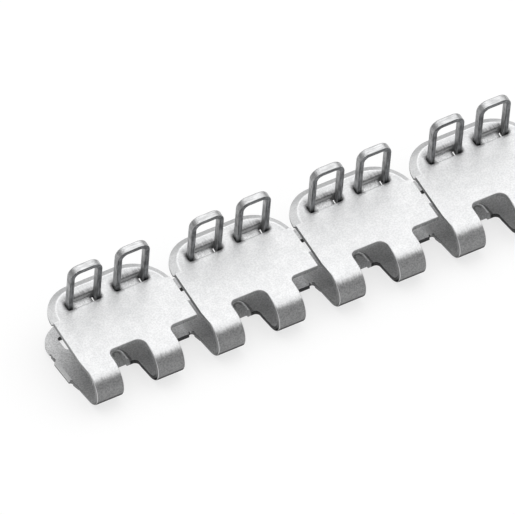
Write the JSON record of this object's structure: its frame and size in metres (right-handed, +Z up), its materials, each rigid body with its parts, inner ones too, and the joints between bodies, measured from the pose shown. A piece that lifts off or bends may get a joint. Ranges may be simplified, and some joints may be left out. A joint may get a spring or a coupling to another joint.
{
  "type": "belt fastener strip",
  "caption": "Strip of folded steel belt fastener plates with hinge loops along the front and flat-wire staples standing pre-set in crown grooves, ready to drive into a belt end.",
  "frame": {"origin": "on the hinge axis that runs through the loops, at mid-length of the strip", "axes": "+X along the strip and the hinge axis, +Y from the loops to the staple edge, +Z up"},
  "size_m": [0.1016, 0.0245, 0.0215],
  "materials": {
    "plate_steel": "galvanised sheet steel, satin, with burnished sheared edges",
    "staple_steel": "drawn flat wire, satin"
  },
  "bodies": {
    "strip": {"fastener_strip": "plate_steel"},
    "staple_1_left": {"staple_1_left": "staple_steel"},
    "staple_1_right": {"staple_1_right": "staple_steel"},
    "staple_2_left": {"staple_2_left": "staple_steel"},
    "staple_2_right": {"staple_2_right": "staple_steel"},
    "staple_3_left": {"staple_3_left": "staple_steel"},
    "staple_3_right": {"staple_3_right": "staple_steel"},
    "staple_4_left": {"staple_4_left": "staple_steel"},
    "staple_4_right": {"staple_4_right": "staple_steel"}
  },
  "joints": [
    {"name": "drive_1_left", "type": "slide", "parent": "strip", "child": "staple_1_left", "axis": [0, -0.1822, 0.9833], "range_m": [-0.01045, 0]},
    {"name": "drive_1_right", "type": "slide", "parent": "strip", "child": "staple_1_right", "axis": [0, -0.1822, 0.9833], "range_m": [-0.01045, 0]},
    {"name": "drive_2_left", "type": "slide", "parent": "strip", "child": "staple_2_left", "axis": [0, -0.1822, 0.9833], "range_m": [-0.01045, 0]},
    {"name": "drive_2_right", "type": "slide", "parent": "strip", "child": "staple_2_right", "axis": [0, -0.1822, 0.9833], "range_m": [-0.01045, 0]},
    {"name": "drive_3_left", "type": "slide", "parent": "strip", "child": "staple_3_left", "axis": [0, -0.1822, 0.9833], "range_m": [-0.01045, 0]},
    {"name": "drive_3_right", "type": "slide", "parent": "strip", "child": "staple_3_right", "axis": [0, -0.1822, 0.9833], "range_m": [-0.01045, 0]},
    {"name": "drive_4_left", "type": "slide", "parent": "strip", "child": "staple_4_left", "axis": [0, -0.1822, 0.9833], "range_m": [-0.01045, 0]},
    {"name": "drive_4_right", "type": "slide", "parent": "strip", "child": "staple_4_right", "axis": [0, -0.1822, 0.9833], "range_m": [-0.01045, 0]}
  ]
}
